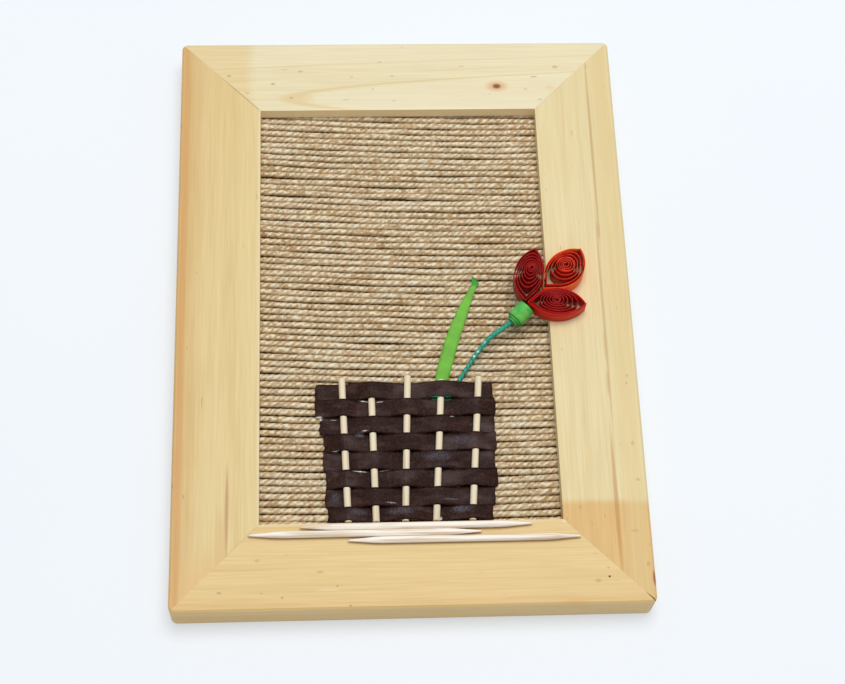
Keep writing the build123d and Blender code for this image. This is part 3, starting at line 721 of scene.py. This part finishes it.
coated, tree, shader, place = new_finish("brown_coated_paper", specular=0.14)
mottle = stretched_noise(tree, place, (1500, 1500, 1500), 4.0, 0.7)
crease = stretched_noise(tree, place, (160, 420, 160), 3.0, 0.6)
sheen_noise = stretched_noise(tree, place, (75, 130, 75), 3.0, 0.6)
specks = stretched_noise(tree, place, (2600, 2600, 2600), 2.0)
dyed = blend(tree, ramp(tree, mottle, 0.3, 0.7), paint(22, 6, 3), paint(56, 29, 22))
dyed = blend(tree, ramp(tree, crease, 0.5, 0.72, 0.0, 0.45), dyed, paint(84, 60, 52))
# Painted sheen: pale grey patches; the same noise makes those patches glossier.
dyed = blend(tree, ramp(tree, sheen_noise, 0.5, 0.72, 0.0, 0.42), dyed, paint(92, 74, 72))
dyed = blend(tree, ramp(tree, specks, 0.62, 0.74, 0.0, 0.2), dyed, paint(150, 136, 132))
# Painted shadow: dark along each strip's upper edge, under the strip above, broken up by the creases.
rim_shadow = ramp(tree, attribute(tree, "rim"), 0.72, 1.0, 0.0, 0.85)
rim_shadow = maths(tree, "MULTIPLY", rim_shadow, ramp(tree, crease, 0.4, 0.58, 1.0, 0.35))
dyed = blend(tree, rim_shadow, dyed, paint(8, 3, 2))
# Marks: white glue and painted white glints at the strips' edges, grey glue and painted grey sheen in
# patches, and green where the stem and leaf show between the first two strips.
white_glue_and_glints, grey_glue_and_sheen, stem_green = paint(255, 252, 242), paint(106, 104, 116), paint(20, 176, 122)
for x, y, width, height, tint, share in [
        (-12.3, -29.2, 3.4, 0.5, white_glue_and_glints, 0.9), (-8.0, -29.4, 2.8, 0.4, white_glue_and_glints, 0.8),
        (8.2, -28.8, 3.2, 0.8, stem_green, 0.9), (11.6, -28.9, 3.0, 0.9, stem_green, 0.9),
        (-25.8, -34.3, 3.4, 1.8, white_glue_and_glints, 1.0), (-21.3, -34.7, 2.6, 0.3, white_glue_and_glints, 0.6),
        (-13.9, -39.7, 3.4, 2.0, grey_glue_and_sheen, 0.9), (-12.4, -38.7, 2.6, 0.5, white_glue_and_glints, 0.6),
        (-13.9, -50.9, 5.6, 0.4, white_glue_and_glints, 0.8), (-7.4, -50.6, 4.6, 0.3, white_glue_and_glints, 0.5),
        (-20.9, -44.7, 2.4, 0.35, white_glue_and_glints, 0.5), (-17.4, -45.0, 2.0, 0.3, white_glue_and_glints, 0.5),
        (12.7, -34.7, 1.6, 0.3, white_glue_and_glints, 0.7), (8.3, -65.0, 1.3, 1.5, white_glue_and_glints, 0.9),
        (14.1, -62.7, 7.6, 2.8, grey_glue_and_sheen, 0.55), (-2.9, -63.1, 10.6, 2.8, grey_glue_and_sheen, 0.4),
        (-15.0, -63.1, 6.8, 2.8, grey_glue_and_sheen, 0.35), (-21.1, -58.0, 3.4, 3.8, grey_glue_and_sheen, 0.35),
        (8.1, -46.9, 11.4, 3.6, grey_glue_and_sheen, 0.35), (15.3, -41.8, 9.5, 3.6, grey_glue_and_sheen, 0.3),
        (-5.6, -60.3, 4.2, 0.5, white_glue_and_glints, 0.4), (11.5, -59.7, 6.0, 0.6, grey_glue_and_sheen, 0.6)]:
    mask = spot_on(tree, place, (x, y, GLUE_HEIGHT), (width / 2, height / 2, 6.0))
    mask = maths(tree, "MULTIPLY", mask, ramp(tree, mottle, 0.35, 0.6, 0.25, 1.0))
    dyed = blend(tree, maths(tree, "MULTIPLY", mask, share), dyed, tint)
gloss = ramp(tree, sheen_noise, 0.35, 0.7, 0.6, 0.36)
finish_with(tree, shader, dyed, gloss, maths(tree, "ADD", crease, mottle), 0.00025, 0.5)
for index, width in enumerate(STRIP_WIDTHS):
    top = POT_TOP - sum(STRIP_WIDTHS[:index])
    left, right = -STRIP_LEFT_ENDS[index], STRIP_RIGHT_ENDS[index]
    shape = bmesh.new()
    rim = shape.verts.layers.float.new("rim")
    bmesh.ops.create_grid(shape, x_segments=150, y_segments=8, size=1.0)
    for vert in shape.verts:
        along, across = (vert.co.x + 1) / 2, vert.co.y
        vert[rim] = across if index else 0.0
        x = left + (right - left) * along
        from_end = min(x - left, right - x)
        near_end = max(0, 1 - from_end)
        trim = max(0, STRIP_CORNER - from_end)
        half = width / 2 - 0.03 - (STRIP_CORNER - sqrt(max(0, STRIP_CORNER ** 2 - trim ** 2))) * 0.7
        x += 0.3 * noise.noise(Vector((index * 3.1, across * 1.3, (along > 0.5) * 5.0))) * near_end
        y = top - width / 2 + across * half
        wave = 0.16 * (noise.noise(Vector((x * 0.3, index * 4.7 + (across > 0) * 2.0, 0.0))) - 0.3)
        z = weave_height(index, x, y)
        curl = -0.12 * across * across * (1 if z > STRIP_MIDDLE else -0.5) - 0.25 * near_end
        belly = 0.12 * noise.noise(Vector((x * 0.25, y * 0.4, index * 2.2)))
        tuck = 0.95 * max(0, across) * min(1, max(0, (TUCKED_BELOW - z) / 0.8)) * (index > 0)
        vert.co = (x, y + wave * across + tuck, max(z + curl + belly, STRIP_LOWEST))
    strip = new_piece(f"woven_strip_{index + 1}", shape, coated, "brown_paper", f"pot_strip_{index + 1}")
    thicken(strip, STRIP_PAPER)


# Ground: three whole birch toothpicks, pointed at both ends and glued side by side along the bottom rail.
# Their lower sides and tips are tinted brown, partly for the glue where they meet the rail and each other and
# partly as painted shade.
PICK_LENGTH = 65.0
PICK_TAPER = 9.0
GROUND_SHIFTS = {"upper": 1.3, "middle": -13.0, "lower": 14.6}
GROUND_LEVEL, GROUND_PITCH, GROUND_HEIGHT = -68.375, 2.0, 11.975
ground_birch = toothpick_wood("ground_birch", 0, paint(255, 247, 234))
tree, shader, place, clean_wood = reopen(ground_birch)
height = add_node(tree, "SeparateXYZ", {0: place}).outputs["Z"]
# Glue and painted shade: brown on each pick's lower side and its tips.
glue_and_shade_line = ramp(tree, height, 0.01235, 0.01175, 0.0, 0.8)
finish_with(tree, shader, blend(tree, glue_and_shade_line, clean_wood, paint(166, 112, 72)))
half, shaft = PICK_LENGTH / 2, PICK_LENGTH / 2 - PICK_TAPER
taper = [(0.0, half), (0.16, half - 0.12), (0.27, half - 0.5), (0.62, half - 4.5), (0.88, shaft + 1.6),
         (PICK_RADIUS, shaft - 0.8)]
profile = [(radius, -height) for radius, height in taper] + taper[::-1]
for index, (name, shift) in enumerate(GROUND_SHIFTS.items()):
    middle = (shift, GROUND_LEVEL - index * GROUND_PITCH, GROUND_HEIGHT)
    shape = stood_along(turned_solid(profile), middle, (1, 0, 0))
    for vert in shape.verts:
        vert.co.y += 0.05 * noise.noise(Vector((vert.co.x * 0.06, index * 3.0, 0.0)))
    new_piece(f"whole_toothpick_{name}", shape, ground_birch, "toothpick", f"ground_pick_{name}")


# Calyx: a strip of green paper rolled tightly round the stem's end. The strip was cut to a taper, so its last
# turns step back in two rings.
calyx_seat, calyx_way = Vector((35.697, -2.503, 13.4995)), Vector((0.7116, 0.6816, 0.1704))
profile = [(0, -2.6), (0.62, -2.6), (0.66, -6.25), (1.66, -6.28), (1.74, -6.2), (1.75, -5.74), (2.1, -5.69),
           (2.19, -5.6), (2.2, -5.14), (2.56, -5.08), (2.65, -4.98), (2.66, -3.4), (2.6, -3.3), (2.65, -3.2),
           (2.65, -0.1), (2.57, 0), (2.2, -0.02), (2.16, -0.16), (1.7, -0.16), (1.66, -0.02), (1.2, -0.02),
           (1.16, -0.16), (0, -0.16)]
shape = stood_along(turned_solid(profile, 48), calyx_seat, calyx_way)
calyx_paper = dyed_paper("calyx_paper", paint(74, 178, 82), paint(120, 198, 105))
tree, shader, place, even_dye = reopen(calyx_paper)
blotches = stretched_noise(tree, place, (420, 420, 420), 3.0, 0.65)
blotched = blend(tree, ramp(tree, blotches, 0.42, 0.68, 0.0, 0.7), even_dye, paint(126, 194, 80))
along = add_node(tree, "VectorMath", {0: place, 1: calyx_way}, operation="DOT_PRODUCT").outputs["Value"]
# Painted shade: a dark green line at each of the two steps.
for step, share in ((-5.74, 0.55), (-5.14, 0.75)):
    level = (calyx_seat.dot(calyx_way) + step) * MM
    away = maths(tree, "ABSOLUTE", maths(tree, "SUBTRACT", along, level))
    blotched = blend(tree, ramp(tree, away, 0.00004, 0.00014, share, 0.0), blotched, paint(22, 96, 44))
finish_with(tree, shader, blotched)
calyx = new_piece("calyx_roll", shape, calyx_paper, "calyx_paper", "calyx")
calyx.modifiers.new("crisp_steps", "EDGE_SPLIT").split_angle = radians(50)


# Petals: strips of dyed paper, rolled to a loose coil round a needle, let out, and pinched at both ends to an
# eye. They stand on edge, glued to each other, to the calyx and to the right rail.
PETAL_WIDTH = 5.0
PETAL_BANDS = 3
PETAL_PAPER = 0.19
PETAL_TURNS = 8
HALF_TURNS = 2 * PETAL_TURNS
PETAL_SAG = 0.16
NEEDLE_RADIUS = 0.42
CUT_EDGE_HEIGHT = 15.92
SOFTENING_PASSES = 10


def coil_ends(length, eye, eye_shift, bulge, heel_pinch, tip_pinch):
    """Where the strip turns back, from the eye outwards in mm, and how hard it is pinched there. A pinch says
    from which share of the turns on they leave the round, and from which they reach the end."""
    ends, pinches = [], []
    for turn in range(HALF_TURNS + 1):
        outer = turn % 2 == 0
        first_pinched, full_pinched = tip_pinch if outer else heel_pinch
        pinch = (turn / (HALF_TURNS - 2) - first_pinched) / (full_pinched - first_pinched)
        pinch = min(1, max(0, pinch)) ** 1.3
        round_reach = NEEDLE_RADIUS + (bulge - NEEDLE_RADIUS) * min(turn, HALF_TURNS - 1) / HALF_TURNS
        reach = round_reach + (length * (1 - eye if outer else eye) - bulge) * pinch
        ends.append(Vector((length * eye + (reach if outer else -reach), eye_shift * (1 - pinch), 0)))
        pinches.append(pinch)
    return ends, pinches


def side_arc(inner, outer, bulge, skew, side):
    """One side of a turn between its two ends: a straight run from the inner one and an arc to the outer one.
    Gives the run's length, the joint of the two, and the arc's centre and sweep."""
    span = (outer - inner).length
    along = (outer - inner).normalized()
    up = Vector((-along.y, along.x, 0)) * side
    peak, fall = span * (1 + skew) / 2, span * (1 - skew) / 2
    radius = (fall * fall + bulge * bulge) / (2 * bulge)
    lift = bulge - radius
    run = span * sqrt(skew)
    lean = atan2(lift, peak) + asin(min(1, radius / hypot(peak, lift)))
    joint = inner + (along * cos(lean) + up * sin(lean)) * run
    centre = inner + along * peak + up * lift
    sweep = (joint - centre).angle(outer - centre)
    return run, joint, centre, 2 * pi - sweep if lift > 0 else sweep


def petal_strip(length, eye, eye_shift, left, right, heel_pinch, tip_pinch):
    """The strip's middle line from the eye outwards, as one chain of runs and arcs in mm, with the inner tip
    at the origin. A side is its bulge and how far that lies past the middle."""
    ends, pinches = coil_ends(length, eye, eye_shift, (left[0] + right[0]) / 2, heel_pinch, tip_pinch)
    shape = bmesh.new()
    outermost = shape.verts.layers.float.new("outermost")
    last = shape.verts.new(ends[0])
    first_softened = 0
    for turn in range(HALF_TURNS):
        first = len(shape.verts)
        if pinches[turn] == 0:
            first_softened = first
        (full_bulge, full_skew), side = (left, 1) if turn % 2 == 0 else (right, -1)
        inner, outer = sorted(ends[turn:turn + 2], key=lambda end: end.x)
        bulge = NEEDLE_RADIUS + (full_bulge - NEEDLE_RADIUS) * (turn + 0.5) / HALF_TURNS
        skew = full_skew * (pinches[turn] + pinches[turn + 1]) / 2
        run, joint, centre, sweep = side_arc(inner, outer, bulge, skew, side)
        if side < 0 and run > 0.05:
            last = bmesh.ops.extrude_vert_indiv(shape, verts=[last])["verts"][0]
            last.co = joint
        steps = max(12, int((outer - inner).length * 1.8))
        arc = bmesh.ops.spin(shape, geom=[last], cent=centre, axis=(0, 0, 1), angle=sweep, steps=steps)
        last = [item for item in arc["geom_last"] if isinstance(item, bmesh.types.BMVert)][0]
        if side > 0 and run > 0.05:
            last = bmesh.ops.extrude_vert_indiv(shape, verts=[last])["verts"][0]
            last.co = inner
        shape.verts.ensure_lookup_table()
        shape.verts.index_update()
        for vert in shape.verts[first:]:
            vert[outermost] = float(turn >= HALF_TURNS - 2)
        if turn == HALF_TURNS - 4:
            inner_turns = [vert for vert in shape.verts if vert.index >= first_softened and vert != last]
    for step in range(SOFTENING_PASSES):
        bmesh.ops.smooth_vert(shape, verts=inner_turns, factor=0.5, use_axis_x=True, use_axis_y=True)
    return shape


def petal(name, slot, tip, angle, colours, seed, **form):
    """One petal: the strip drawn up to its width, its turns a little uneven, turned to its place."""
    shape = petal_strip(**form)
    band = PETAL_WIDTH / PETAL_BANDS
    for step in range(PETAL_BANDS):
        rim = [edge for edge in shape.edges if not edge.link_faces or edge.is_boundary and
               all(vert.co.z > band * step - 0.1 for vert in edge.verts)]
        drawn = bmesh.ops.extrude_edge_only(shape, edges=rim)["geom"]
        raised = [item for item in drawn if isinstance(item, bmesh.types.BMVert)]
        bmesh.ops.translate(shape, vec=(0, 0, band), verts=raised)
    eye = Vector((form["length"] * form["eye"], form["eye_shift"], 0))
    for vert in shape.verts:
        away = (vert.co.xy - eye.xy).length
        slack = 0.5 + noise.noise(Vector((vert.co.x * 0.5, vert.co.y * 0.5, seed)))
        vert.co.z -= PETAL_SAG * vert.co.z / PETAL_WIDTH * slack * min(1, away / 3)
    bmesh.ops.recalc_face_normals(shape, faces=shape.faces)
    bmesh.ops.rotate(shape, verts=shape.verts, matrix=Matrix.Rotation(radians(angle), 3, "Z"))
    bmesh.ops.translate(shape, verts=shape.verts, vec=tip)
    # Painted light and shade: the outermost turn takes a brighter copy of the dye than the darker inner
    # turns.
    inside, lit_outer_dye, cut_edge = colours
    finish = dyed_paper(name + "_paper", inside, cut_edge, CUT_EDGE_HEIGHT * MM, lit_outer_dye)
    varnish(finish, 0.15, 0.15)
    thicken(new_piece(name + "_coil", shape, finish, slot, name), PETAL_PAPER, offset=0.0)


petal("petal_left", "dark_red_paper", (35.25, -1.496, 11.0), 78.0,
      (paint(156, 11, 9), paint(158, 17, 14), paint(176, 30, 27)), 1.0, length=18.0, eye=0.62, eye_shift=0.0,
      left=(5.1, 0.005), right=(4.0, 0.05), heel_pinch=(0.1, 1.0), tip_pinch=(0.2, 0.95))
petal("petal_top", "orange_paper", (40.396, 2.396, 11.0), 47.4,
      (paint(186, 26, 6), paint(246, 100, 32), paint(234, 74, 36)), 2.0, length=18.1, eye=0.60, eye_shift=0.0,
      left=(4.7, 0.065), right=(6.2, 0.06), heel_pinch=(0.5, 1.0), tip_pinch=(0.5, 1.0))
petal("petal_right", "red_paper", (35.7, -1.7, 11.0), -2.9,
      (paint(164, 12, 8), paint(216, 18, 4), paint(156, 28, 24)), 3.0, length=17.6, eye=0.49, eye_shift=1.0,
      left=(5.1, 0.03), right=(4.0, 0.015), heel_pinch=(0.15, 1.0), tip_pinch=(0.25, 1.0))


# Table, light and camera: a white table top under one soft overhead light, in a bright room. The camera looks
# down at the frame from the front.
shape = bmesh.new()
bmesh.ops.create_grid(shape, x_segments=1, y_segments=1, size=3.0)
mesh = bpy.data.meshes.new("table_top")
shape.to_mesh(mesh)
shape.free()
table_white, tree, shader, place = new_finish("table_white", roughness=0.7, specular=0.2)
clouds = stretched_noise(tree, place, (6, 6, 6))
finish_with(tree, shader, blend(tree, clouds, paint(180, 184, 188), paint(186, 189, 192)))
shader.inputs["Emission Color"].default_value = paint(244, 249, 254)
shader.inputs["Emission Strength"].default_value = 0.45
mesh.materials.append(table_white)
table_top = bpy.data.objects.new("table_top", mesh)
bpy.context.collection.objects.link(table_top)

world = bpy.data.worlds.new("room")
world.use_nodes = True
world.node_tree.nodes["Background"].inputs["Color"].default_value = (0.95, 0.97, 1.0, 1.0)
world.node_tree.nodes["Background"].inputs["Strength"].default_value = 0.4
bpy.context.scene.world = world
softbox = bpy.data.lights.new("softbox", "AREA")
softbox.size = 0.8
softbox.energy = 12.6
softbox_stand = bpy.data.objects.new("softbox", softbox)
softbox_stand.location = (0.1, 0.2, 1.3)
softbox_stand.rotation_euler = (-softbox_stand.location).to_track_quat("-Z", "Y").to_euler()
bpy.context.collection.objects.link(softbox_stand)

bpy.context.scene.view_settings.view_transform = "Standard"
camera = bpy.data.cameras.new("camera")
camera.lens = 75.47
camera.sensor_width = 36.0
camera_stand = bpy.data.objects.new("camera", camera)
camera_stand.location = (-0.020793, -0.224653, 0.480753)
camera_stand.rotation_euler = (radians(24.4083), radians(-2.2524), radians(-1.932))
bpy.context.collection.objects.link(camera_stand)
bpy.context.scene.camera = camera_stand
